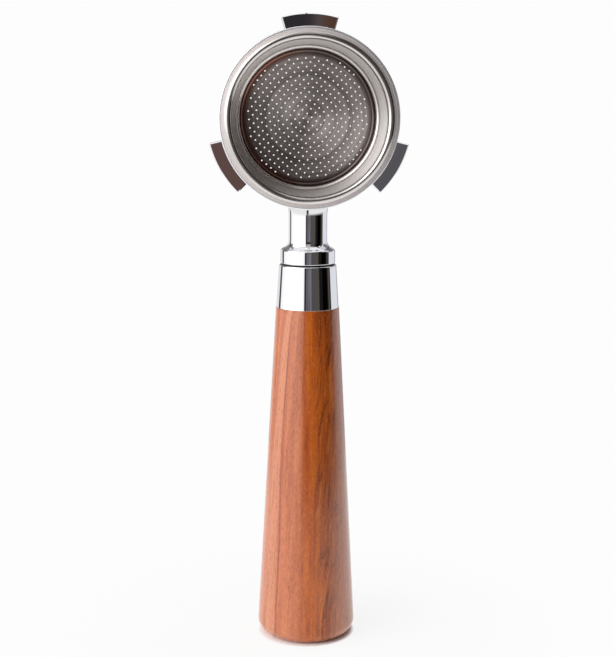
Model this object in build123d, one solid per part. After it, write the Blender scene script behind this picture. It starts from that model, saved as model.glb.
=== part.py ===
from build123d import *
import os
from math import cos, radians, sin

# Bottomless 51 mm portafilter, stood on the flat end of its handle.
#
# Row frame, in mm: the origin is the centre of the handle's flat end, +Z runs up the
# handle's axis, and the mouth of the basket faces -Y.
# Head frame: the origin is the centre of the basket's mouth, x points right, y up (away
# from the handle) and z out of the mouth, so a depth in the basket is a negative z.

# ---- driving dimensions, mm ----

# Handle and ferrule, as heights above the flat end
HANDLE_END_R = 17.38          # the cone's radius carried down to the flat end
HANDLE_TOP_R = 10.92
HANDLE_END_ROUND = 4.8
HANDLE_TOP = 117.55
TENON_R = 8.6
TENON_TOP = 128.0
FERRULE_BASE_R = 10.77
FERRULE_TOP_R = 9.86
FERRULE_TOP = 132.4
FERRULE_TOP_ROUND = 0.45

# Washer, neck and the M8 thread that pulls the handle together
WASHER_THICKNESS = 0.5
WASHER_R = 9.1
THREAD_R = 4.0
THREAD_CLEARANCE = 0.3
THREAD_CHAMFER = 0.6
STUD_BASE = 108.0
STUD_TOP = 147.0
NECK_BORE_TOP = 148.0
INSERT_R = 5.9
INSERT_BASE = 106.0
INSERT_FLANGE_R = 7.4
INSERT_FLANGE_THICKNESS = 1.6
INSERT_GROOVES = (110.0, 114.5, 119.0, 123.5)
INSERT_GROOVE_DEPTH = 0.5
INSERT_GROOVE_WIDTH = 1.0
DRILL_DEPTH = 3.0             # space left under the insert
SHOULDER_R = 9.42
SHOULDER_TOP = 137.55
NECK_R = 6.6
NECK_SLOPE_TOP = 139.05
NECK_FLARE = 150.95
NECK_FLARE_R = 7.75
NECK_TOP = 154.45             # before the saddle is cut

# Head
HEAD_HEIGHT = 182.15          # the basket's axis above the flat end
MOUTH_FORWARD = 13.0          # the mouth's plane in front of the handle's axis
RING_R = 30.15
RING_BORE_R = 26.85
RING_TOP = -2.05
RING_BASE = -24.5
RING_BORE_ROUND = 0.3
RING_TOP_ROUND = 0.35
RING_BASE_ROUND = 1.5
LUG_R = 34.35
LUG_ROOT_R = 28.9             # inside the ring's wall
LUG_ANGLES = (90.0, 210.0, 330.0)
LUG_WIDTH = 32.0              # degrees
LUG_TOP = -3.2
LUG_THICKNESS = 4.8
LUG_CHAMFER = 0.35

# Wire spring that grips the basket, in a groove in the ring's bore
SPRING_WIRE_R = 0.7
SPRING_R = 27.2               # to the middle of the wire
SPRING_Z = -6.5
SPRING_GAP = 26.0             # degrees
SPRING_GAP_AT = 90.0
GROOVE_R = 27.96
GROOVE_WIDTH = 1.5

# Filter basket, as its inside surface
SHEET = 0.65
FLOOR_Z = -22.5
FLOOR_R = 23.2
STEP_R = 23.5
STEP_Z = -19.2
LEDGE_R = 24.75
LEDGE_Z = -18.6
MOUTH_R = 25.9                # straight stretch that a tamper or funnel enters
MOUTH_STRAIGHT_Z = -4.2
RIM_SHOULDER_R = 28.0         # where the rim's crest starts to fall
BRIM_ROOT_R = 28.86
BRIM_ROOT_Z = -1.25
BRIM_R = 29.45
BRIM_Z = -1.35
BASKET_ROUNDS = (1.2, 0.8, 0.7, 0, 1.2, 1.6, 0.4)   # from the floor out to the brim
HOLE_R = 0.27
HOLE_PITCH = 2.04
HOLE_TURN = 51.06             # degrees from the x axis to the rows of holes
HOLE_FIELD_R = 10.2           # in pitches
HOLE_ROW_REACH = 10.5         # in pitches; three-hole ends of the four middle rows
HOLE_ROW_HALF = 1.5

HEAD = Plane(
    origin=(0, -MOUTH_FORWARD, HEAD_HEIGHT), x_dir=(1, 0, 0), z_dir=(0, -1, 0)
)


def turned(points, rounds):
    """Solid of revolution about Z from a closed outline of (radius, height) corners."""
    outline = FilletPolyline(*points, radius=rounds, close=True)
    return revolve(Plane.XZ * make_face(outline), Axis.Z)


def tube(inner_r, outer_r, base, top):
    """Plain tube about Z, or a rod where inner_r is 0."""
    outer = Pos(0, 0, (base + top) / 2) * Cylinder(outer_r, top - base)
    if inner_r == 0:
        return outer
    return outer - Pos(0, 0, (base + top) / 2) * Cylinder(inner_r, top - base + 2)


def wood_handle():
    """Turned conical grip with a tenon for the ferrule and a stepped hole for the insert."""
    grip = turned(
        [
            (0, 0),
            (HANDLE_END_R, 0),
            (HANDLE_TOP_R, HANDLE_TOP),
            (TENON_R, HANDLE_TOP),
            (TENON_R, TENON_TOP),
            (0, TENON_TOP),
        ],
        [0, HANDLE_END_ROUND, 0, 0, 0, 0],
    )
    hole = tube(0, INSERT_R, INSERT_BASE - DRILL_DEPTH, TENON_TOP + 1)
    counterbore = tube(
        0, INSERT_FLANGE_R, TENON_TOP - INSERT_FLANGE_THICKNESS, TENON_TOP + 1
    )
    return grip - hole - counterbore


def handle_insert():
    """Flanged brass sleeve, threaded M8, with glue grooves round the outside."""
    insert = tube(THREAD_R, INSERT_R, INSERT_BASE, TENON_TOP) + tube(
        THREAD_R, INSERT_FLANGE_R, TENON_TOP - INSERT_FLANGE_THICKNESS, TENON_TOP
    )
    for middle in INSERT_GROOVES:
        insert -= tube(
            INSERT_R - INSERT_GROOVE_DEPTH,
            INSERT_R + 1,
            middle - INSERT_GROOVE_WIDTH / 2,
            middle + INSERT_GROOVE_WIDTH / 2,
        )
    return insert


def ferrule():
    """Conical cap over the tenon, with a web that the stud passes through."""
    web_bore_r = THREAD_R + THREAD_CLEARANCE
    return turned(
        [
            (TENON_R, HANDLE_TOP),
            (FERRULE_BASE_R, HANDLE_TOP),
            (FERRULE_TOP_R, FERRULE_TOP),
            (web_bore_r, FERRULE_TOP),
            (web_bore_r, TENON_TOP),
            (TENON_R, TENON_TOP),
        ],
        [0, 0, FERRULE_TOP_ROUND, 0, 0, 0],
    )


def handle_washer():
    """Thin washer between the ferrule and the neck, set back from both."""
    return tube(
        THREAD_R + THREAD_CLEARANCE,
        WASHER_R,
        FERRULE_TOP,
        FERRULE_TOP + WASHER_THICKNESS,
    )


def handle_stud():
    """Threaded rod, at its nominal diameter."""
    rod = tube(0, THREAD_R, STUD_BASE, STUD_TOP)
    return chamfer(rod.edges().filter_by(GeomType.CIRCLE), THREAD_CHAMFER)


def neck():
    """Turned neck with a shoulder, saddle-cut to the ring and bored for the stud."""
    base = FERRULE_TOP + WASHER_THICKNESS
    body = turned(
        [
            (0, base),
            (SHOULDER_R, base),
            (SHOULDER_R, SHOULDER_TOP),
            (NECK_R, NECK_SLOPE_TOP),
            (NECK_R, NECK_FLARE),
            (NECK_FLARE_R, NECK_TOP),
            (0, NECK_TOP),
        ],
        [0, 0.3, 0.9, 3.0, 12.0, 0, 0],
    )
    saddle = HEAD * tube(0, RING_R, RING_BASE - 1, 0)
    return body - saddle - tube(0, THREAD_R, base - 1, NECK_BORE_TOP)


def lug():
    """One bayonet lug: a flat sector of a ring, centred on the head's x axis."""
    half = LUG_WIDTH / 2
    outer = CenterArc((0, 0), LUG_R, -half, LUG_WIDTH)
    inner = CenterArc((0, 0), LUG_ROOT_R, -half, LUG_WIDTH)
    sides = [Line(inner @ end, outer @ end) for end in (0, 1)]
    block = extrude(make_face([outer, inner, *sides]), LUG_THICKNESS)
    free_edges = block.edges().filter_by(lambda e: e.center().X > RING_R - 1)
    return Pos(0, 0, LUG_TOP - LUG_THICKNESS) * chamfer(free_edges, LUG_CHAMFER)


def body_ring():
    """Open ring that carries the basket, with three lugs and the spring's groove."""
    ring = turned(
        [
            (RING_BORE_R, RING_TOP),
            (RING_R, RING_TOP),
            (RING_R, RING_BASE),
            (RING_BORE_R, RING_BASE),
        ],
        [RING_BORE_ROUND, RING_TOP_ROUND, RING_BASE_ROUND, RING_BORE_ROUND],
    )
    for angle in LUG_ANGLES:
        ring += Rot(0, 0, angle) * lug()
    ring -= tube(
        RING_BORE_R - 1,
        GROOVE_R,
        SPRING_Z - GROOVE_WIDTH / 2,
        SPRING_Z + GROOVE_WIDTH / 2,
    )
    return HEAD * ring


def basket_spring():
    """Open ring of round wire with rounded ends."""
    sweep_angle = 360 - SPRING_GAP
    start = SPRING_GAP_AT + SPRING_GAP / 2
    wire_section = Plane.XZ * Pos(SPRING_R, 0) * Circle(SPRING_WIRE_R)
    spring = Rot(0, 0, start) * revolve(wire_section, Axis.Z, sweep_angle)
    for end in (start, start + sweep_angle):
        x, y = SPRING_R * cos(radians(end)), SPRING_R * sin(radians(end))
        spring += Pos(x, y, 0) * Sphere(SPRING_WIRE_R)
    return HEAD * Pos(0, 0, SPRING_Z) * spring


def hole_places():
    """Centres of the floor's holes: a square grid, cut to a circle, with longer middle rows."""
    reach = int(HOLE_ROW_REACH) + 1
    steps = [n + 0.5 for n in range(-reach, reach)]
    for u in steps:
        for v in steps:
            in_field = u * u + v * v <= HOLE_FIELD_R**2
            in_row = max(abs(u), abs(v)) <= HOLE_ROW_REACH and min(abs(u), abs(v)) <= HOLE_ROW_HALF
            if in_field or in_row:
                yield u * HOLE_PITCH, v * HOLE_PITCH


def filter_basket():
    """Stepped cup of thin sheet with a domed rim, a narrow brim and a perforated floor."""
    inside = FilletPolyline(
        (0, FLOOR_Z),
        (FLOOR_R, FLOOR_Z),
        (STEP_R, STEP_Z),
        (LEDGE_R, LEDGE_Z),
        (MOUTH_R, MOUTH_STRAIGHT_Z),
        (MOUTH_R, 0),
        (RIM_SHOULDER_R, 0),
        (BRIM_ROOT_R, BRIM_ROOT_Z),
        (BRIM_R, BRIM_Z),
        radius=BASKET_ROUNDS,
    )
    section = make_face(inside.wire().offset_2d(SHEET, side=Side.RIGHT))
    cup = revolve(Plane.XZ * section, Axis.Z)
    holes = Sketch() + [Pos(x, y) * Circle(HOLE_R) for x, y in hole_places()]
    drills = extrude(Pos(0, 0, FLOOR_Z - SHEET - 1) * Rot(0, 0, HOLE_TURN) * holes, SHEET + 2)
    return HEAD * (cup - drills)


PIECES = (
    wood_handle,
    handle_insert,
    ferrule,
    handle_washer,
    handle_stud,
    neck,
    body_ring,
    basket_spring,
    filter_basket,
)

os.makedirs("parts", exist_ok=True)
for piece in PIECES:
    export_step(piece(), f"parts/{piece.__name__}.step")
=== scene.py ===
# Bottomless portafilter on its handle's end, on a white floor in a soft studio.
#
# Lengths are in mm until a mesh is made. Row frame: the origin is the centre of the handle's
# flat end, +Z runs up the handle's axis and the basket's mouth faces -Y.
# Head frame: the origin is the centre of the basket's mouth, x points right, y up and z out of
# the mouth, so a depth in the basket is a negative z.

from math import ceil, cos, pi, radians, sin, sqrt, tan

import bmesh
import bpy
from mathutils import Matrix, Quaternion, Vector
from mathutils.geometry import delaunay_2d_cdt


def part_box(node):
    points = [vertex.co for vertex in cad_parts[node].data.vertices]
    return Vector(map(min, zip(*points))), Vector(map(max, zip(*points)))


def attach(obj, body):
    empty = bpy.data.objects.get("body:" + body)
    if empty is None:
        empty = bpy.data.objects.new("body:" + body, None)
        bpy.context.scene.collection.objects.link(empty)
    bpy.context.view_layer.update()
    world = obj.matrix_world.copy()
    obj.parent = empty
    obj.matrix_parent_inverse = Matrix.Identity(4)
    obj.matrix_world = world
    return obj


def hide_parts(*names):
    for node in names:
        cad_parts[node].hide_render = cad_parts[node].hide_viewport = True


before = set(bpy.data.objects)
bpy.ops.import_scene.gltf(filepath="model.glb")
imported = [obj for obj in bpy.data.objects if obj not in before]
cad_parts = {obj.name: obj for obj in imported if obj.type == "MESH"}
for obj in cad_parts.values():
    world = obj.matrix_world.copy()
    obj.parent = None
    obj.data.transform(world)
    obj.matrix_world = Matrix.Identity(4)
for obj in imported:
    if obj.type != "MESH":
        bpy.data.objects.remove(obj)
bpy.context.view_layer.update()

MM = 0.001

# ---- sizes that the CAD gives ----


def box_mm(node):
    """Lowest and highest corner of a CAD node, in mm."""
    low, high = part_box(node)
    return low / MM, high / MM


basket_low, basket_high = box_mm("filter_basket")
ferrule_low, ferrule_high = box_mm("ferrule")

HEAD_HEIGHT = (basket_low.z + basket_high.z) / 2
MOUTH_Y = basket_low.y
HANDLE_TOP = ferrule_low.z
TENON_TOP = box_mm("wood_handle")[1].z
INSERT_BASE = box_mm("handle_insert")[0].z
FERRULE_TOP = ferrule_high.z
NECK_BASE = box_mm("neck")[0].z

# ---- shape helpers ----

ROUND_STEP = 7.0              # degrees that each facet of a round turns
SUPPORT_GAP = 0.12            # from the end of a long run to its extra point
SHARP_ANGLE = 32.0            # degrees above which an edge shades sharp
SAME_PLACE = 1e-7             # distance at which points are merged
ZERO = 1e-6                   # radius under which a ring is one point


def row_place(x, y, z):
    """Point of a piece turned about the handle's axis."""
    return Vector((x, y, z)) * MM


def head_place(x, y, z):
    """Point of a piece turned about the basket's axis."""
    return Vector((x, MOUTH_Y - z, HEAD_HEIGHT + y)) * MM


def rounded(corners, closed=False):
    """Points of an outline whose (x, y, radius) corners are rounded."""
    points = []
    for index, (x, y, radius) in enumerate(corners):
        here = Vector((x, y))
        at_end = not closed and index in (0, len(corners) - 1)
        if radius == 0 or at_end:
            points.append(here)
            continue
        to_last = (Vector(corners[index - 1][:2]) - here).normalized()
        to_next = (Vector(corners[(index + 1) % len(corners)][:2]) - here).normalized()
        half = to_last.angle(to_next) / 2
        centre = here + (to_last + to_next).normalized() * radius / sin(half)
        spoke = here + to_last * radius / tan(half) - centre
        turn = pi - 2 * half
        if to_last.x * to_next.y - to_last.y * to_next.x > 0:
            turn = -turn
        count = max(2, ceil(abs(turn) / radians(ROUND_STEP)))
        for k in range(count + 1):
            points.append(centre + Matrix.Rotation(turn * k / count, 2) @ spoke)
    return points


def supported(points, closed=False):
    """The outline with extra points near the ends of long runs, so that these shade flat."""
    result = []
    last = len(points) if closed else len(points) - 1
    for k in range(last):
        here, after = points[k], points[(k + 1) % len(points)]
        result.append(here)
        length = (after - here).length
        if length > 4 * SUPPORT_GAP:
            along = (after - here) / length
            result += [here + along * SUPPORT_GAP, after - along * SUPPORT_GAP]
    if not closed:
        result.append(points[-1])
    return result


def offset_outline(points, distance):
    """The outline moved to the right of its direction by a distance, with mitred corners."""
    moved = []
    for k, here in enumerate(points):
        normals = []
        for a, b in ((k - 1, k), (k, k + 1)):
            if 0 <= a and b < len(points):
                run = (points[b] - points[a]).normalized()
                normals.append(Vector((run.y, -run.x)))
        mean = (normals[0] + normals[-1]) / 2
        moved.append(here + mean * distance / mean.length_squared)
    return moved


def join_rings(bm, low, high, columns):
    """Adds the faces between two rings of verts, either of which may be a single point."""
    for k in range(columns):
        after = (k + 1) % columns
        loop = [
            low[k % len(low)],
            low[after % len(low)],
            high[after % len(high)],
            high[k % len(high)],
        ]
        corners = list(dict.fromkeys(loop))
        if len(corners) > 2:
            bm.faces.new(corners)


def turn_outline(bm, outline, columns, place, closed=False, bend=None):
    """Adds the surface that an outline of (radius, height) points sweeps about local z.

    bend moves each (radius, angle, height) to another (radius, height) first.
    """
    rings = []
    for point in outline:
        if point.x < ZERO:
            height = bend(0, 0, point.y)[1] if bend else point.y
            rings.append([bm.verts.new(place(0, 0, height))])
            continue
        ring = []
        for k in range(columns):
            angle = 2 * pi * k / columns
            radius, height = bend(point.x, angle, point.y) if bend else point
            ring.append(bm.verts.new(place(radius * cos(angle), radius * sin(angle), height)))
        rings.append(ring)
    pairs = list(zip(rings, rings[1:]))
    if closed:
        pairs.append((rings[-1], rings[0]))
    for low, high in pairs:
        join_rings(bm, low, high, columns)
    return rings


def add_object(name, data):
    """A new object in the scene."""
    item = bpy.data.objects.new(name, data)
    bpy.context.scene.collection.objects.link(item)
    return item


def piece_from(bm, name, node, body, material):
    """Turns a bmesh into a smooth piece that stands for a CAD node and rides on its body."""
    bmesh.ops.recalc_face_normals(bm, faces=bm.faces)
    mesh = bpy.data.meshes.new(name)
    bm.to_mesh(mesh)
    bm.free()
    mesh.polygons.foreach_set("use_smooth", [True] * len(mesh.polygons))
    mesh.set_sharp_from_angle(angle=radians(SHARP_ANGLE))
    mesh.materials.append(material)
    piece = add_object(name, mesh)
    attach(piece, body)
    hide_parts(node)


def turned_piece(name, corners, columns, node, body, material, closed=False, bend=None):
    """A piece turned about the handle's axis from (radius, height, round) corners."""
    bm = bmesh.new()
    outline = supported(rounded(corners, closed), closed)
    turn_outline(bm, outline, columns, row_place, closed, bend)
    piece_from(bm, name, node, body, material)


# ---- material helpers ----


def srgb(*levels):
    """Linear RGBA of a colour given as display levels from 0 to 255."""
    linear = []
    for level in levels:
        share = level / 255
        linear.append(share / 12.92 if share <= 0.04045 else ((share + 0.055) / 1.055) ** 2.4)
    return (*linear, 1.0)


class Nodes:
    """Adds nodes to one tree. Apart from add, methods return output sockets."""

    def __init__(self, tree):
        self.tree = tree

    def add(self, kind, **settings):
        node = self.tree.nodes.new(kind)
        for name, value in settings.items():
            setattr(node, name, value)
        return node

    def feed(self, socket, value):
        if isinstance(value, bpy.types.NodeSocket):
            self.tree.links.new(value, socket)
        else:
            socket.default_value = value

    def math(self, operation, a, b=0.0, c=0.0):
        node = self.add("ShaderNodeMath", operation=operation)
        for socket, value in zip(node.inputs, (a, b, c)):
            self.feed(socket, value)
        return node.outputs[0]

    def times(self, a, b):
        return self.math("MULTIPLY", a, b)

    def times_add(self, a, factor, b):
        """a times the factor, plus b."""
        return self.math("MULTIPLY_ADD", a, factor, b)

    def between(self, factor, low, high):
        """A number that goes from low to high as a 0 to 1 factor rises."""
        return self.times_add(factor, high - low, low)

    def step(self, value, low, high):
        """0 up to low and 1 from high on, smooth in between; falls if low is above high."""
        rising = low < high
        node = self.add("ShaderNodeMapRange", interpolation_type="SMOOTHSTEP")
        self.feed(node.inputs["Value"], value)
        node.inputs["From Min"].default_value = min(low, high)
        node.inputs["From Max"].default_value = max(low, high)
        node.inputs["To Min"].default_value = 0.0 if rising else 1.0
        node.inputs["To Max"].default_value = 1.0 if rising else 0.0
        return node.outputs["Result"]

    def window(self, value, low, high, soft):
        """1 between low and high, with edges that are soft to either side."""
        return self.times(
            self.step(value, low - soft, low + soft),
            self.step(value, high + soft, high - soft),
        )

    def noise(self, vector, scale, detail=2.0, roughness=0.5):
        node = self.add("ShaderNodeTexNoise", noise_dimensions="3D")
        self.feed(node.inputs["Vector"], vector)
        node.inputs["Scale"].default_value = scale
        node.inputs["Detail"].default_value = detail
        node.inputs["Roughness"].default_value = roughness
        return node.outputs["Fac"]

    def stretched_noise(self, vector, factors, detail=2.0, roughness=0.5):
        """Noise that is finer along an axis the larger that axis's factor is."""
        return self.noise(self.stretch(vector, factors), 1.0, detail, roughness)

    def vector(self, x, y, z):
        node = self.add("ShaderNodeCombineXYZ")
        for socket, value in zip(node.inputs, (x, y, z)):
            self.feed(socket, value)
        return node.outputs[0]

    def split(self, vector):
        node = self.add("ShaderNodeSeparateXYZ")
        self.feed(node.inputs[0], vector)
        return node.outputs

    def stretch(self, vector, factors):
        node = self.add("ShaderNodeVectorMath", operation="MULTIPLY")
        self.feed(node.inputs[0], vector)
        node.inputs[1].default_value = factors
        return node.outputs[0]

    def position(self):
        """The point in the row frame, in mm."""
        coordinates = self.add("ShaderNodeTexCoord").outputs["Object"]
        return self.stretch(coordinates, (1 / MM,) * 3)

    def ramp(self, factor, stops):
        node = self.add("ShaderNodeValToRGB")
        elements = node.color_ramp.elements
        while len(elements) < len(stops):
            elements.new(0.5)
        for element, (place, colour) in zip(elements, stops):
            element.position = place
            element.color = colour
        self.feed(node.inputs[0], factor)
        return node.outputs["Color"]

    def mix(self, factor, a, b):
        node = self.add("ShaderNodeMix", data_type="RGBA")
        factor_in, a_in, b_in = (node.inputs[index] for index in (0, 6, 7))
        self.feed(factor_in, factor)
        self.feed(a_in, a)
        self.feed(b_in, b)
        return node.outputs[2]

    def lay(self, base, mask, share, colour):
        """The base with a colour laid over it, where a mask is 1, at a share of full strength."""
        return self.mix(self.times(mask, share), base, colour)

    def bump(self, height, strength, distance):
        node = self.add("ShaderNodeBump")
        node.inputs["Strength"].default_value = strength
        node.inputs["Distance"].default_value = distance
        self.feed(node.inputs["Height"], height)
        return node.outputs[0]


def new_material(name):
    """A material with a Principled shader: (material, its Nodes, the shader node)."""
    material = bpy.data.materials.new(name)
    material.use_nodes = True
    tree = material.node_tree
    return material, Nodes(tree), tree.nodes["Principled BSDF"]


# ---- wood ----

GRAIN_SPREAD = 0.0996         # how far the left side's grain fans out down the handle
GRAIN_CURVE = 0.557
GRAIN_SWAY = 0.8              # mm that its lines wander
GRAIN_LEAN = 0.15             # how far the right side's grain leans out, in mm a mm
GRAIN_SWIRL = 9.0             # mm that its lines curl
GRAIN_DEPTH = 0.7             # the grain's scale along the view, against across it
GRAIN_LENGTH = 0.012          # its scale along the handle on the left
LEANING_LENGTH = 0.03         # and on the right

# Places across the handle, in mm at its top with 0 in the middle.
# A line or strip is its two edges and their softness; a change starts and ends.
PALE_STRIP = (-6.3, -4.9, 0.3)
VEIN = (-4.86, -4.62, 0.14)
RED_LINE = (-1.15, -0.75, 0.35)
PINK_TO_ORANGE = (-2.8, 0.3)
STREAKS_GROW = (-1.5, 1.0)
RIGHT_SIDE = (0.8, 5.0)
# Painted sheen: where the far right edge is paled, standing for the lacquer's reflection of the
# white room behind
RIGHT_EDGE_SHEEN = (6.5, 13.0)

# Pink wood for the left side: paler than the orange partly by its own tone and partly as a
# painted sheen of the light from the left
PINK_WOOD_AND_SHEEN = [
    (0.34, srgb(172, 96, 64)),
    (0.50, srgb(185, 107, 72)),
    (0.64, srgb(194, 117, 78)),
]
ORANGE_WOOD = [
    (0.32, srgb(154, 66, 12)),
    (0.48, srgb(182, 86, 14)),
    (0.60, srgb(192, 96, 18)),
    (0.74, srgb(170, 76, 14)),
]


def wood_material():
    """Red lacquered hardwood: straight grain on the left, its pale pink partly the wood's own and
    partly a painted sheen of the light from the left; leaning dark grain on the right, paled at
    its far edge by a painted sheen.
    """
    material, n, shader = new_material("wood_lacquered")
    position = n.position()
    x, y, z = n.split(position)

    # u is the place across the handle, followed down the fanning grain
    down = n.math("MAXIMUM", n.math("SUBTRACT", HANDLE_TOP, z), 0.0)
    fan = n.times_add(n.math("POWER", down, GRAIN_CURVE), GRAIN_SPREAD, 1.0)
    left_part = n.math("DIVIDE", n.math("MINIMUM", x, 0.0), fan)
    wander = n.stretched_noise(position, (0.05, 0.05, 0.03))
    sway = n.times_add(wander, GRAIN_SWAY, -GRAIN_SWAY / 2)
    u = n.math("ADD", n.math("ADD", left_part, n.math("MAXIMUM", x, 0.0)), sway)
    v = n.times(y, GRAIN_DEPTH)
    grain = n.vector(u, v, n.times(z, GRAIN_LENGTH))

    bands = n.noise(grain, 0.6, 3.0, 0.6)
    pink, orange = n.ramp(bands, PINK_WOOD_AND_SHEEN), n.ramp(bands, ORANGE_WOOD)
    # The change from pink to orange in the middle partly follows the grain and partly paints the
    # sheen of the light on the left side
    colour = n.mix(n.step(u, *PINK_TO_ORANGE), pink, orange)
    colour = n.lay(colour, n.window(u, *PALE_STRIP), 0.75, srgb(197, 129, 96))
    colour = n.lay(colour, n.window(u, *VEIN), 0.8, srgb(138, 74, 66))
    colour = n.lay(colour, n.window(u, *RED_LINE), 0.45, srgb(136, 58, 34))

    streaks = n.noise(n.stretch(grain, (1.0, 1.0, 2.2)), 1.7, 4.0, 0.7)
    dark_streak = n.step(streaks, 0.50, 0.68)
    streak_share = n.between(n.step(u, *STREAKS_GROW), 0.38, 0.45)
    colour = n.lay(colour, dark_streak, streak_share, srgb(116, 48, 22))

    # The right side's grain leans and curls
    across = n.math("SUBTRACT", x, n.times(z, GRAIN_LEAN))
    across = n.times_add(n.stretched_noise(position, (0.06, 0.06, 0.028)), GRAIN_SWIRL, across)
    leaning = n.vector(across, v, n.times(z, LEANING_LENGTH))
    right_side = n.step(u, *RIGHT_SIDE)
    figure = n.times(n.step(n.noise(leaning, 0.3, 1.0), 0.44, 0.60), right_side)
    colour = n.lay(colour, figure, 0.35, srgb(122, 52, 24))
    lines = n.noise(leaning, 0.85, 4.0, 0.68)
    dark_line = n.times(n.step(lines, 0.50, 0.64), right_side)
    colour = n.lay(colour, dark_line, 0.78, srgb(92, 38, 16))
    light_line = n.times(n.step(lines, 0.46, 0.34), right_side)
    colour = n.lay(colour, light_line, 0.7, srgb(204, 118, 50))
    # Painted sheen: a pale tone laid over the far right edge stands for the lacquer reflecting
    # the white room behind
    colour = n.lay(colour, n.step(u, *RIGHT_EDGE_SHEEN), 0.7, srgb(210, 146, 120))

    pore = n.step(n.stretched_noise(position, (1.9, 1.9, 0.55), 2.0, 0.7), 0.50, 0.68)
    colour = n.lay(colour, pore, 0.36, srgb(118, 52, 32))
    fleck = n.step(n.stretched_noise(position, (1.2, 1.2, 0.9), 2.0, 0.7), 0.52, 0.70)
    colour = n.lay(colour, fleck, 0.22, srgb(222, 134, 70))

    n.feed(shader.inputs["Base Color"], colour)
    wear = n.stretched_noise(position, (0.2, 0.2, 0.2), 3.0)
    n.feed(shader.inputs["Roughness"], n.between(wear, 0.19, 0.27))
    n.feed(shader.inputs["Normal"], n.bump(pore, 0.1, 0.03 * MM))
    shader.inputs["IOR"].default_value = 1.5
    shader.inputs["Coat Weight"].default_value = 0.4
    shader.inputs["Coat Roughness"].default_value = 0.16
    return material


# ---- metals and rubber ----

# The ring's satin top face: how far behind the mouth it ends, and how far under the ring's axis
FACE_DEPTH = (2.9, 2.5)
FACE_FOOT = (-33.0, -31.0)


def chrome_material():
    """Mirror chrome with faint polishing marks, left satin on the ring's top face."""
    material, n, shader = new_material("chrome_polished")
    position = n.position()
    _, y, z = n.split(position)
    near_mouth = n.step(n.math("SUBTRACT", y, MOUTH_Y), *FACE_DEPTH)
    on_head = n.step(z, *(HEAD_HEIGHT + foot for foot in FACE_FOOT))
    on_face = n.times(near_mouth, on_head)
    haze = n.stretched_noise(position, (0.09, 0.09, 0.09), 3.0)
    scratches = n.stretched_noise(position, (0.5, 0.5, 7.0), 4.0, 0.7)
    marks = n.times(haze, n.step(scratches, 0.45, 0.8))
    rough = n.times_add(on_face, 0.38, n.between(marks, 0.035, 0.085))
    n.feed(shader.inputs["Roughness"], rough)
    tone = n.mix(haze, srgb(250, 250, 252), srgb(244, 245, 248))
    n.feed(shader.inputs["Base Color"], tone)
    shader.inputs["Metallic"].default_value = 1.0
    return material


# Where the basket's finishes start and end, by radius and by depth behind the mouth's plane
FLOOR_BY_RADIUS = (22.9, 22.3)
FLOOR_BY_DEPTH = (21.5, 22.2)
WALL_BY_DEPTH = (3.2, 18.0, 0.8)
LEDGE_BY_DEPTH = (17.8, 19.1, 0.3)
BRIM_BY_RADIUS = (27.9, 28.5)
# Painted shade: the floor's edge by the wall is darkened as if in the wall's shade, and reddish
# on the left as a painted reflection of the wood
EDGE_SHADE_BY_RADIUS = (20.0, 22.4)
EDGE_SHADE_BY_DEPTH = (19.4, 20.4)
REDDISH_REFLECTION_BY_X = (4.0, -14.0)
# The inside of the sheet round the floor's corner, where the painted shade stays
INSIDE_BY_RADIUS = (23.75, 23.6)
INSIDE_BY_DEPTH = (22.9, 22.7)
INSIDE_BY_SUM = (45.7, 45.3)


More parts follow.
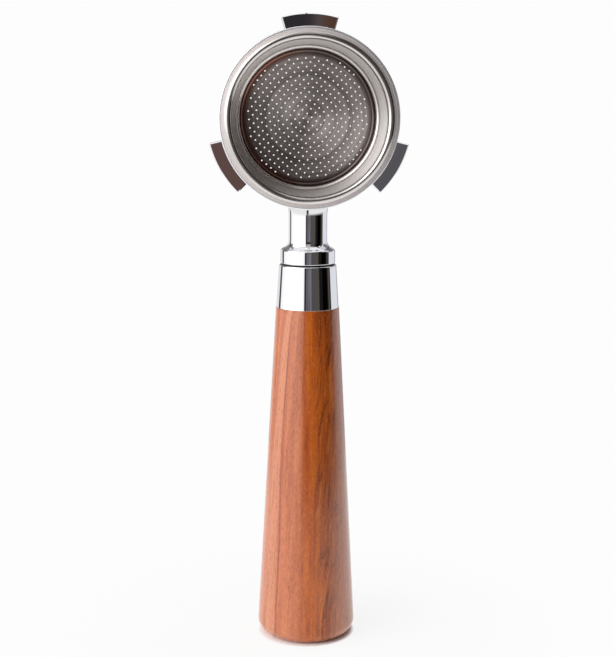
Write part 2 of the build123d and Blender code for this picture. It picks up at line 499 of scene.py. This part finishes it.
def basket_material():
    """Spun steel: satin wall and brim, polished bead and crest, brushed floor darkened round its
    edge by painted shade, reddish on the left as a painted reflection of the wood.
    """
    material, n, shader = new_material("steel_basket")
    position = n.position()
    x, y, z = n.split(position)
    up = n.math("SUBTRACT", z, HEAD_HEIGHT)
    radius = n.math("SQRT", n.math("ADD", n.times(x, x), n.times(up, up)))
    depth = n.math("SUBTRACT", y, MOUTH_Y)
    on_floor = n.times(n.step(radius, *FLOOR_BY_RADIUS), n.step(depth, *FLOOR_BY_DEPTH))
    on_wall = n.window(depth, *WALL_BY_DEPTH)
    on_ledge = n.window(depth, *LEDGE_BY_DEPTH)
    on_brim = n.step(radius, *BRIM_BY_RADIUS)
    # Painted shade round the floor's edge, on the inside of the sheet only
    painted_edge_shade = n.times(n.step(radius, *EDGE_SHADE_BY_RADIUS), n.step(depth, *EDGE_SHADE_BY_DEPTH))
    inner = n.times(n.step(radius, *INSIDE_BY_RADIUS), n.step(depth, *INSIDE_BY_DEPTH))
    inner = n.times(inner, n.step(n.math("ADD", radius, depth), *INSIDE_BY_SUM))
    painted_edge_shade = n.times(painted_edge_shade, inner)

    rings = n.vector(radius, n.times(depth, 0.6), 7.3)
    fine = n.step(n.noise(rings, 1.9, 4.0, 0.75), 0.30, 0.70)
    broad = n.noise(rings, 0.45)
    patches = n.stretched_noise(position, (0.12, 0.12, 0.12), 3.0)
    steel = n.mix(broad, srgb(214, 208, 205), srgb(236, 232, 229))
    brushed = n.mix(fine, srgb(136, 123, 119), srgb(222, 213, 210))
    brushed = n.mix(n.step(broad, 0.40, 0.70), brushed, srgb(206, 197, 194))
    satin = n.mix(fine, srgb(188, 180, 178), srgb(216, 208, 206))
    colour = n.mix(on_floor, steel, brushed)
    colour = n.mix(on_brim, colour, satin)
    # Painted shade: dark grey-brown on the right, reddish on the left as a painted reflection of
    # the wood
    shade_tone = n.mix(patches, srgb(66, 46, 40), srgb(96, 84, 80))
    reddish_reflection = n.mix(patches, srgb(112, 56, 36), srgb(140, 88, 66))
    shade_and_reflection = n.mix(n.step(x, *REDDISH_REFLECTION_BY_X), shade_tone, reddish_reflection)
    n.feed(shader.inputs["Base Color"], n.lay(colour, painted_edge_shade, 0.85, shade_and_reflection))

    rough = n.times_add(patches, 0.05, 0.11)
    for finish, extra in ((on_floor, 0.22), (on_ledge, 0.08), (on_wall, 0.47), (on_brim, 0.42)):
        rough = n.times_add(finish, extra, rough)
    n.feed(shader.inputs["Roughness"], rough)
    n.feed(shader.inputs["Normal"], n.bump(fine, 0.3, 0.002 * MM))
    n.feed(shader.inputs["Metallic"], n.between(on_brim, 1.0, 0.2))
    shader.inputs["Anisotropic"].default_value = 0.94
    shader.inputs["Anisotropic Rotation"].default_value = 0.25
    tangent = n.add("ShaderNodeTangent", direction_type="RADIAL", axis="Y")
    n.feed(shader.inputs["Tangent"], tangent.outputs[0])
    return material


def plain_metal(name, light, dark, roughness, factors):
    """Turned, drawn or plated metal with streaks along or round its length."""
    material, n, shader = new_material(name)
    streaks = n.stretched_noise(n.position(), factors, 4.0, 0.7)
    n.feed(shader.inputs["Base Color"], n.mix(streaks, dark, light))
    n.feed(shader.inputs["Roughness"], n.between(streaks, roughness - 0.06, roughness + 0.08))
    n.feed(shader.inputs["Normal"], n.bump(streaks, 0.3, 0.01 * MM))
    shader.inputs["Metallic"].default_value = 1.0
    return material


def rubber_material():
    """Matt black rubber with a fine mottle."""
    material, n, shader = new_material("rubber_black")
    mottle = n.noise(n.position(), 2.4, 3.0, 0.6)
    n.feed(shader.inputs["Base Color"], n.mix(mottle, srgb(14, 14, 15), srgb(32, 31, 31)))
    n.feed(shader.inputs["Roughness"], n.between(mottle, 0.55, 0.8))
    n.feed(shader.inputs["Normal"], n.bump(mottle, 0.3, 0.02 * MM))
    return material


wood = wood_material()
chrome = chrome_material()
basket_steel = basket_material()
spring_steel = plain_metal(
    "steel_spring", srgb(205, 205, 206), srgb(160, 160, 162), 0.25, (1, 6, 1)
)
stud_steel = plain_metal(
    "steel_stud", srgb(196, 198, 202), srgb(140, 142, 148), 0.34, (1, 1, 6)
)
brass = plain_metal("brass_turned", srgb(224, 188, 108), srgb(176, 132, 60), 0.3, (1, 1, 5))
rubber = rubber_material()

# ---- handle, ferrule and washer ----

HANDLE_COLUMNS = 192
HANDLE_END_R = 17.38          # the cone's radius carried down to the flat end
HANDLE_END_ROUND = 4.8
HANDLE_TOP_R = 10.92
HANDLE_TOP_ROUND = 0.22
TENON_R = 8.6
HOLE_R = 5.9
DRILL_DEPTH = 3.0             # space left under the insert
HOLE_BASE = INSERT_BASE - DRILL_DEPTH
FLANGE_R = 7.4
FLANGE_THICKNESS = 1.6
FLANGE_BASE = TENON_TOP - FLANGE_THICKNESS

turned_piece(
    "wood_handle_turned",
    [
        (0, 0, 0),
        (HANDLE_END_R, 0, HANDLE_END_ROUND),
        (HANDLE_TOP_R, HANDLE_TOP, HANDLE_TOP_ROUND),
        (TENON_R, HANDLE_TOP, 0),
        (TENON_R, TENON_TOP, 0),
        (FLANGE_R, TENON_TOP, 0),
        (FLANGE_R, FLANGE_BASE, 0),
        (HOLE_R, FLANGE_BASE, 0),
        (HOLE_R, HOLE_BASE, 0),
        (0, HOLE_BASE, 0),
    ],
    HANDLE_COLUMNS, "wood_handle", "holder", wood,
)

FERRULE_BASE_R = 10.77
FERRULE_BASE_ROUND = 0.12
FERRULE_TOP_R = 9.86
FERRULE_TOP_ROUND = 0.45
WEB_BORE_R = 4.3

turned_piece(
    "ferrule_chromed",
    [
        (TENON_R, HANDLE_TOP, 0),
        (FERRULE_BASE_R, HANDLE_TOP, FERRULE_BASE_ROUND),
        (FERRULE_TOP_R, FERRULE_TOP, FERRULE_TOP_ROUND),
        (WEB_BORE_R, FERRULE_TOP, 0),
        (WEB_BORE_R, TENON_TOP, 0),
        (TENON_R, TENON_TOP, 0),
    ],
    HANDLE_COLUMNS, "ferrule", "holder", chrome, closed=True,
)

WASHER_COLUMNS = 128
WASHER_R = 9.1
WASHER_ROUND = 0.15

turned_piece(
    "handle_washer_rubber",
    [
        (WEB_BORE_R, FERRULE_TOP, 0),
        (WASHER_R, FERRULE_TOP, WASHER_ROUND),
        (WASHER_R, NECK_BASE, WASHER_ROUND),
        (WEB_BORE_R, NECK_BASE, 0),
    ],
    WASHER_COLUMNS, "handle_washer", "holder", rubber, closed=True,
)

# ---- neck, ended in the ring's wall ----

RING_R = 30.15
NECK_R = 6.6
STUD_R = 4.0
STUD_BORE_TOP = 148.0
STUD_BORE_ROUND = 0.2
SHOULDER_R = 9.42
SHOULDER_TOP = NECK_BASE + 4.65
SHOULDER_BASE_ROUND = 0.3
SHOULDER_TOP_ROUND = 0.9
SLOPE_TOP = NECK_BASE + 6.15
SLOPE_ROUND = 3.0
FLARE_BASE = 149.03
FLARE_ROUND = 12.0
FLARE_ROWS = 10
NECK_TOP = 154.45             # before the flare is bent to the ring
OVERLAP = 0.4                 # how far the neck runs into the ring's wall


def neck_radius(height):
    """Radius of the neck where it flares out towards the ring."""
    rise = max(0.0, height - FLARE_BASE)
    return NECK_R + FLARE_ROUND - sqrt(FLARE_ROUND**2 - rise**2)


def saddle_height(across):
    """Height of the ring's outside above a point this far from the middle plane."""
    return HEAD_HEIGHT - sqrt(RING_R**2 - across**2)


def neck_bend(radius, angle, height):
    """Ends the neck's flare on the ring's saddle instead of at one height."""
    if height <= FLARE_BASE:
        return radius, height
    if radius == 0:
        return 0, saddle_height(0) + OVERLAP
    edge = saddle_height(NECK_R * cos(angle)) + OVERLAP
    top = saddle_height(neck_radius(edge) * cos(angle)) + OVERLAP
    share = (height - FLARE_BASE) / (NECK_TOP - FLARE_BASE)
    bent = FLARE_BASE + share * (top - FLARE_BASE)
    return neck_radius(bent), bent


flare_rows = [
    (NECK_R, FLARE_BASE + (NECK_TOP - FLARE_BASE) * k / FLARE_ROWS, 0)
    for k in range(FLARE_ROWS + 1)
]

turned_piece(
    "neck_chromed",
    [
        (0, STUD_BORE_TOP, 0),
        (STUD_R, STUD_BORE_TOP, 0),
        (STUD_R, NECK_BASE, STUD_BORE_ROUND),
        (SHOULDER_R, NECK_BASE, SHOULDER_BASE_ROUND),
        (SHOULDER_R, SHOULDER_TOP, SHOULDER_TOP_ROUND),
        (NECK_R, SLOPE_TOP, SLOPE_ROUND),
        *flare_rows,
        (0, NECK_TOP, 0),
    ],
    HANDLE_COLUMNS, "neck", "holder", chrome, bend=neck_bend,
)

# ---- ring with its lugs ----

RING_COLUMNS = 360            # one a degree
RING_BORE_R = 26.85
RING_BORE_ROUND = 0.3
RING_TOP = -2.05
RING_TOP_ROUND = 0.35
RING_BASE = -24.5
RING_BASE_ROUND = 1.5
GROOVE_R = 27.96
GROOVE_TOP = -5.75
GROOVE_BASE = -7.25
LUG_R = 34.35
LUG_TOP = -3.2
LUG_BASE = -8.0
LUG_CHAMFER = 0.35
LUG_ANGLES = (90, 210, 330)
LUG_WIDTH = 32                # degrees
LUG_EDGE_ANGLE = 40.0         # degrees above which a lug's edge is chamfered


def nearest_row(outline, radius, height):
    """Index of the outline's point that is closest to a radius and height."""
    corner = Vector((radius, height))
    return min(range(len(outline)), key=lambda k: (outline[k] - corner).length)


def raise_lug(bm, top_ring, base_ring, middle):
    """Pulls a stretch of the ring's outer wall out to a lug and chamfers its edges."""
    start = middle - LUG_WIDTH // 2
    wall = []
    for k in range(start, start + LUG_WIDTH):
        here, after = k % RING_COLUMNS, (k + 1) % RING_COLUMNS
        corners = {top_ring[here], top_ring[after], base_ring[here], base_ring[after]}
        wall += [face for face in top_ring[here].link_faces if set(face.verts) == corners]
    raised = bmesh.ops.extrude_face_region(bm, geom=wall)["geom"]
    bmesh.ops.delete(bm, geom=wall, context="FACES_ONLY")
    moved = [item for item in raised if isinstance(item, bmesh.types.BMVert)]
    axis = head_place(0, 0, 0)
    for vert in moved:
        out = Vector((vert.co.x - axis.x, 0, vert.co.z - axis.z)).normalized()
        vert.co = Vector((axis.x, vert.co.y, axis.z)) + out * LUG_R * MM
    bm.normal_update()
    lug_edges = dict.fromkeys(
        edge for vert in moved for edge in vert.link_edges
        if edge.is_manifold and edge.calc_face_angle(0) > radians(LUG_EDGE_ANGLE)
    )
    bmesh.ops.bevel(
        bm, geom=list(lug_edges), offset=LUG_CHAMFER * MM, segments=1,
        affect="EDGES", clamp_overlap=True,
    )


bm = bmesh.new()
ring_outline = rounded(
    [
        (RING_BORE_R, RING_TOP, RING_BORE_ROUND),
        (RING_R, RING_TOP, RING_TOP_ROUND),
        (RING_R, LUG_TOP, 0),
        (RING_R, LUG_BASE, 0),
        (RING_R, RING_BASE, RING_BASE_ROUND),
        (RING_BORE_R, RING_BASE, RING_BORE_ROUND),
        (RING_BORE_R, GROOVE_BASE, 0),
        (GROOVE_R, GROOVE_BASE, 0),
        (GROOVE_R, GROOVE_TOP, 0),
        (RING_BORE_R, GROOVE_TOP, 0),
    ],
    closed=True,
)
rings = turn_outline(bm, ring_outline, RING_COLUMNS, head_place, closed=True)
top_ring = rings[nearest_row(ring_outline, RING_R, LUG_TOP)]
base_ring = rings[nearest_row(ring_outline, RING_R, LUG_BASE)]
for middle in LUG_ANGLES:
    raise_lug(bm, top_ring, base_ring, middle)
piece_from(bm, "body_ring_chromed", "body_ring", "holder", chrome)

# ---- wire spring in the ring's groove ----

WIRE_R = 0.7
WIRE_SIDES = 16
SPRING_R = 27.2               # to the middle of the wire
SPRING_Z = -6.5
SPRING_GAP = 26.0             # degrees, centred on the top
SPRING_STEPS = 240
END_STEPS = 5                 # rows of each rounded end

# Sections along the wire, as (angle round the ring, radius of the wire there)
start, end = radians(90 + SPRING_GAP / 2), radians(450 - SPRING_GAP / 2)
tilts = [pi / 2 * k / END_STEPS for k in range(END_STEPS)]
end_cap = [(WIRE_R * cos(tilt) / SPRING_R, WIRE_R * sin(tilt)) for tilt in tilts]
sections = [(start - reach, wire) for reach, wire in end_cap]
for k in range(SPRING_STEPS + 1):
    sections.append((start + (end - start) * k / SPRING_STEPS, WIRE_R))
sections += [(end + reach, wire) for reach, wire in reversed(end_cap)]

bm = bmesh.new()
loops = []
for angle, wire in sections:
    loop = []
    for side in range(WIRE_SIDES if wire > ZERO else 1):
        around = 2 * pi * side / WIRE_SIDES
        radius = SPRING_R + wire * cos(around)
        height = SPRING_Z + wire * sin(around)
        loop.append(bm.verts.new(head_place(radius * cos(angle), radius * sin(angle), height)))
    loops.append(loop)
for low, high in zip(loops, loops[1:]):
    join_rings(bm, low, high, WIRE_SIDES)
piece_from(bm, "basket_spring_wire", "basket_spring", "spring", spring_steel)

# ---- filter basket ----

BASKET_COLUMNS = 240
SHEET = 0.65
FLOOR_Z = -22.5
FLOOR_R = 23.2
FLOOR_ROUND = 1.2
STEP_R = 23.5
STEP_Z = -19.2
STEP_ROUND = 0.8
LEDGE_R = 24.75
LEDGE_Z = -18.6
LEDGE_ROUND = 1.4
MOUTH_R = 25.9                # straight stretch that a tamper or funnel enters
MOUTH_STRAIGHT_Z = -4.2
MOUTH_STRAIGHT_ROUND = 3.0
MOUTH_ROUND = 1.2
RIM_SHOULDER_R = 28.0         # where the rim's crest starts to fall
RIM_ROUND = 1.6
BRIM_ROOT_R = 28.86
BRIM_ROOT_Z = -1.25
BRIM_ROOT_ROUND = 0.4
BRIM_R = 29.45
BRIM_Z = -1.35
BRIM_EDGE_STEPS = 6

HOLE_SIDES = 12
PERFORATION_R = 0.27
PERFORATION_PITCH = 2.04
PERFORATION_TURN = 51.06      # degrees from the x axis to the rows of holes
FIELD_R = 10.2                # in pitches
ROW_REACH = 10.5              # in pitches; three-hole ends of the four middle rows
ROW_HALF = 1.5


def hole_centres():
    """Centres of the floor's holes: a square grid cut to a circle, with longer middle rows."""
    turn = Matrix.Rotation(radians(PERFORATION_TURN), 2)
    reach = int(ROW_REACH) + 1
    steps = [k + 0.5 for k in range(-reach, reach)]
    for u in steps:
        for v in steps:
            in_field = u * u + v * v <= FIELD_R**2
            in_row = max(abs(u), abs(v)) <= ROW_REACH and min(abs(u), abs(v)) <= ROW_HALF
            if in_field or in_row:
                yield turn @ Vector((u, v)) * PERFORATION_PITCH


def circle(centre, radius, sides):
    """Corners of a regular polygon."""
    return [
        centre + radius * Vector((cos(2 * pi * k / sides), sin(2 * pi * k / sides)))
        for k in range(sides)
    ]


def add_perforated_floor(bm, floor_r):
    """Adds the floor's two faces, triangulated round the holes, and the holes' walls."""
    flat = circle(Vector((0, 0)), floor_r, BASKET_COLUMNS)
    loops = [list(range(BASKET_COLUMNS))]
    owner = [-1] * BASKET_COLUMNS     # which hole each point belongs to, or -1 for the rim
    for index, centre in enumerate(hole_centres()):
        loops.append(list(range(len(flat), len(flat) + HOLE_SIDES)))
        flat += circle(centre, PERFORATION_R, HOLE_SIDES)
        owner += [index] * HOLE_SIDES
    edges = [(loop[k - 1], loop[k]) for loop in loops for k in range(len(loop))]
    _, _, triangles, sources, _, _ = delaunay_2d_cdt(flat, edges, [], 0, SAME_PLACE)
    levels = []
    for height in (FLOOR_Z, FLOOR_Z - SHEET):
        verts = [bm.verts.new(head_place(point.x, point.y, height)) for point in flat]
        for triangle in triangles:
            owners = {owner[sources[k][0]] for k in triangle}
            inside_hole = len(owners) == 1 and -1 not in owners
            if not inside_hole:
                bm.faces.new([verts[sources[k][0]] for k in triangle])
        levels.append(verts)
    top, under = levels
    for loop in loops[1:]:
        for k in range(HOLE_SIDES):
            a, b = loop[k - 1], loop[k]
            bm.faces.new([top[a], top[b], under[b], under[a]])


inside = rounded(
    [
        (0, FLOOR_Z, 0),
        (FLOOR_R, FLOOR_Z, FLOOR_ROUND),
        (STEP_R, STEP_Z, STEP_ROUND),
        (LEDGE_R, LEDGE_Z, LEDGE_ROUND),
        (MOUTH_R, MOUTH_STRAIGHT_Z, MOUTH_STRAIGHT_ROUND),
        (MOUTH_R, 0, MOUTH_ROUND),
        (RIM_SHOULDER_R, 0, RIM_ROUND),
        (BRIM_ROOT_R, BRIM_ROOT_Z, BRIM_ROOT_ROUND),
        (BRIM_R, BRIM_Z, 0),
    ],
)[1:]
outside = offset_outline(inside, SHEET)
inside[0].y, outside[0].y = FLOOR_Z, FLOOR_Z - SHEET
outside[0].x = inside[0].x

# The brim's free edge is a half round of the sheet's thickness
half_sheet = (inside[-1] - outside[-1]) / 2
outward = (inside[-1] - inside[-2]).normalized()
edge_centre = (inside[-1] + outside[-1]) / 2 - outward * SHEET / 2
brim_edge = []
for k in range(BRIM_EDGE_STEPS + 1):
    tilt = pi * k / BRIM_EDGE_STEPS
    brim_edge.append(edge_centre + half_sheet * cos(tilt) + outward * sin(tilt) * SHEET / 2)
wall_outline = inside[:-1] + brim_edge + outside[-2::-1]

bm = bmesh.new()
turn_outline(bm, supported(wall_outline), BASKET_COLUMNS, head_place)
add_perforated_floor(bm, inside[0].x)
bmesh.ops.remove_doubles(bm, verts=bm.verts, dist=SAME_PLACE)
piece_from(bm, "filter_basket_spun", "filter_basket", "basket", basket_steel)

# ---- hidden pieces keep their CAD shape ----

for node, material in (("handle_insert", brass), ("handle_stud", stud_steel)):
    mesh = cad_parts[node].data
    mesh.materials.clear()
    mesh.materials.append(material)

# ---- floor ----

PAPER = srgb(253, 253, 253)
PAPER_R = 0.28                # m
PAPER_SIDES = 128
CONTACT_SHADE = (17.9, 15.7)  # mm from the handle's axis, where the paper turns to lit paper
SOFT_SHADE = (110.0, 16.0)
SOFT_SHADE_SHARE = 0.12


def paper_material():
    """White paper that glows like the backdrop and takes a shadow only near the handle."""
    paper, n, shader = new_material("paper_white")
    n.tree.nodes.remove(shader)
    away = n.add("ShaderNodeVectorMath", operation="LENGTH")
    n.feed(away.inputs[0], n.position())
    contact = n.step(away.outputs["Value"], *CONTACT_SHADE)
    shade = n.times(n.step(away.outputs["Value"], *SOFT_SHADE), SOFT_SHADE_SHARE)
    glow = n.add("ShaderNodeEmission")
    glow.inputs["Color"].default_value = PAPER
    lit = n.add("ShaderNodeBsdfDiffuse")
    fibres = n.noise(n.position(), 0.6, 3.0)
    n.feed(lit.inputs["Color"], n.mix(fibres, srgb(250, 249, 250), srgb(255, 255, 255)))
    blend = n.add("ShaderNodeMixShader")
    n.feed(blend.inputs[0], n.math("MAXIMUM", contact, shade))
    n.feed(blend.inputs[1], glow.outputs[0])
    n.feed(blend.inputs[2], lit.outputs[0])
    n.feed(n.tree.nodes["Material Output"].inputs["Surface"], blend.outputs[0])
    return paper


bm = bmesh.new()
bmesh.ops.create_circle(
    bm, cap_ends=True, cap_tris=True, segments=PAPER_SIDES, radius=PAPER_R
)
floor_mesh = bpy.data.meshes.new("floor")
bm.to_mesh(floor_mesh)
bm.free()
floor_mesh.materials.append(paper_material())
floor = add_object("floor", floor_mesh)

# ---- studio: what the metal reflects ----

# Directions are degrees: azimuth 0 is -Y and 90 is +X, and elevation 0 is level. A pair is
# where a change starts and ends, and three numbers are two edges and their softness.

# Cards round the object, each from its azimuth on to the next
CARDS = [
    (-180.0, (230, 230, 232)),
    (-137.0, (74, 72, 72)),
    (-122.5, (253, 253, 254)),
    (-15.0, (44, 41, 43)),
    (-8.0, (100, 98, 106)),
    (2.0, (116, 114, 122)),
    (12.5, (78, 76, 80)),
    (20.0, (80, 77, 73)),
    (43.0, (27, 24, 24)),
    (57.0, (3, 3, 4)),
    (79.0, (36, 30, 27)),
    (84.0, (86, 79, 70)),
    (90.0, (44, 38, 33)),
    (97.0, (224, 225, 231)),
    (148.0, (158, 156, 158)),
    (160.0, (226, 227, 232)),
]
CARD_SOFTNESS = 0.8

# Smaller cards in front of those: azimuths, elevations and colour
SMALL_CARDS = [
    (-13.0, 2.4, 0.2, 14.0, (45, 43, 45)),
    (2.4, 12.0, 0.2, 14.0, (80, 57, 46)),
    (-3.4, 0.4, -5.6, -1.5, (94, 73, 68)),
    (3.4, 7.4, -5.6, -1.5, (86, 84, 87)),
]
SMALL_CARD_SOFTNESS = (0.4, 0.6)   # in azimuth and in elevation

CEILING = (54.0, 70.0)
CEILING_COLOUR = srgb(252, 252, 253)

# Behind the object, either side: a dim band low on the wall, and a dim strip in the middle
BACK_WALL = (98.0, 112.0)
BACK_BAND = (14.0, 38.0, 4.0)
BACK_STRIP = (169.0, 171.0)
BACK_COLOUR = srgb(88, 86, 88)

# The light table under the object, weaker in front of it
TABLE = (-9.5, -19.0)
TABLE_COLOUR = srgb(238, 236, 234)
TABLE_GAP = (-9.0, 1.0, 3.0)
TABLE_GAP_SHARE = 0.2

# The bright middle of the white card on the left
SOFTBOX_ACROSS = (-100.0, -26.0, 8.0)
SOFTBOX_UP = (-4.0, 48.0, 8.0)
SOFTBOX_LIGHT = (2.2, 2.2, 2.2, 1.0)

# Ahead, above level and below it: a dark gap and a light card beyond it, at angles from a
# level that lies a little lower. Each side is the sign of its elevation and its right edge.
AHEAD_SIDES = ((1.0, 15.0), (-1.0, 1.0))
AHEAD_LEFT = -11.0
AHEAD_SOFTNESS = 3.0
AHEAD_LEVEL = 3.0
GAP = (13.0, 29.0, 4.0)
GAP_COLOUR = srgb(38, 33, 32)
BEYOND = (27.0, 37.0)
BEYOND_COLOUR = srgb(188, 185, 183)


def room_colour(n):
    """Colour of the room in every direction."""
    direction = n.split(n.add("ShaderNodeTexCoord").outputs["Generated"])
    azimuth = n.math("ARCTAN2", direction[0], n.times(direction[1], -1.0))
    azimuth = n.math("DEGREES", azimuth)
    elevation = n.math("DEGREES", n.math("ARCSINE", direction[2]))
    aside = n.math("ABSOLUTE", azimuth)

    stops = [(0.0, srgb(*CARDS[0][1]))]
    for (_, before), (edge, colour) in zip(CARDS, CARDS[1:]):
        stops.append((0.5 + (edge - CARD_SOFTNESS) / 360, srgb(*before)))
        stops.append((0.5 + (edge + CARD_SOFTNESS) / 360, srgb(*colour)))
    room = n.ramp(n.times_add(azimuth, 1 / 360, 0.5), stops)
    soft_across, soft_up = SMALL_CARD_SOFTNESS
    for left, right, low, high, colour in SMALL_CARDS:
        on_card = n.times(
            n.window(azimuth, left, right, soft_across), n.window(elevation, low, high, soft_up)
        )
        room = n.mix(on_card, room, srgb(*colour))
    room = n.mix(n.step(elevation, *CEILING), room, CEILING_COLOUR)

    band = n.times(n.window(elevation, *BACK_BAND), n.step(aside, *BACK_WALL))
    dim = n.math("MAXIMUM", band, n.step(aside, *BACK_STRIP))
    room = n.lay(room, dim, 0.85, BACK_COLOUR)

    in_front = n.window(azimuth, *TABLE_GAP)
    table_share = n.between(in_front, 1.0, TABLE_GAP_SHARE)
    room = n.lay(room, n.step(elevation, *TABLE), table_share, TABLE_COLOUR)

    on_softbox = n.times(n.window(azimuth, *SOFTBOX_ACROSS), n.window(elevation, *SOFTBOX_UP))
    room = n.mix(on_softbox, room, SOFTBOX_LIGHT)

    for sign, right in AHEAD_SIDES:
        ahead = n.window(azimuth, AHEAD_LEFT, right, AHEAD_SOFTNESS)
        tilt = n.times_add(elevation, sign, AHEAD_LEVEL * sign)
        room = n.lay(room, n.times(ahead, n.window(tilt, *GAP)), 0.95, GAP_COLOUR)
        room = n.lay(room, n.times(ahead, n.step(tilt, *BEYOND)), 0.8, BEYOND_COLOUR)
    return room


world = bpy.data.worlds.new("studio")
world.use_nodes = True
bpy.context.scene.world = world
n = Nodes(world.node_tree)
backdrop = n.add("ShaderNodeBackground")
backdrop.inputs["Color"].default_value = PAPER
studio = n.add("ShaderNodeBackground")
n.feed(studio.inputs["Color"], room_colour(n))
seen = n.add("ShaderNodeMixShader")
n.feed(seen.inputs[0], n.add("ShaderNodeLightPath").outputs["Is Camera Ray"])
n.feed(seen.inputs[1], studio.outputs[0])
n.feed(seen.inputs[2], backdrop.outputs[0])
n.feed(n.tree.nodes["World Output"].inputs["Surface"], seen.outputs[0])

KEY_AT = Vector((-1.1, -0.75, 0.75))   # m
KEY_AIM = Vector((0, 0, 0.09))
KEY_SIDE = 0.9
KEY_WATTS = 9.0
KEY_COLOUR = (1.0, 0.985, 0.97)

key = bpy.data.lights.new("key", "AREA")
key.shape = "RECTANGLE"
key.size, key.size_y, key.energy = KEY_SIDE, KEY_SIDE, KEY_WATTS
key.color = KEY_COLOUR
key_object = add_object("key", key)
key_object.location = KEY_AT
key_object.rotation_euler = (KEY_AIM - KEY_AT).to_track_quat("-Z", "Y").to_euler()
key_object.visible_glossy = False

# ---- camera ----

CAMERA_AT = Vector((-16.3, -467.2, 190.6))
CAMERA_YAW = 2.00             # degrees, towards +X
CAMERA_PITCH = -9.80
CAMERA_ROLL = 0.30
LENS = 74.74
SENSOR = 36.0

camera_data = bpy.data.cameras.new("camera")
camera_data.lens = LENS
camera_data.sensor_width = SENSOR
camera_data.clip_start, camera_data.clip_end = 0.01, 20.0
camera = add_object("camera", camera_data)
camera.location = CAMERA_AT * MM
yaw, pitch = radians(CAMERA_YAW), radians(CAMERA_PITCH)
look = Vector((sin(yaw) * cos(pitch), cos(yaw) * cos(pitch), sin(pitch)))
roll = Quaternion((0, 0, 1), radians(CAMERA_ROLL))
camera.rotation_mode = "QUATERNION"
camera.rotation_quaternion = look.to_track_quat("-Z", "Y") @ roll
bpy.context.scene.camera = camera
bpy.context.scene.view_settings.view_transform = "Standard"
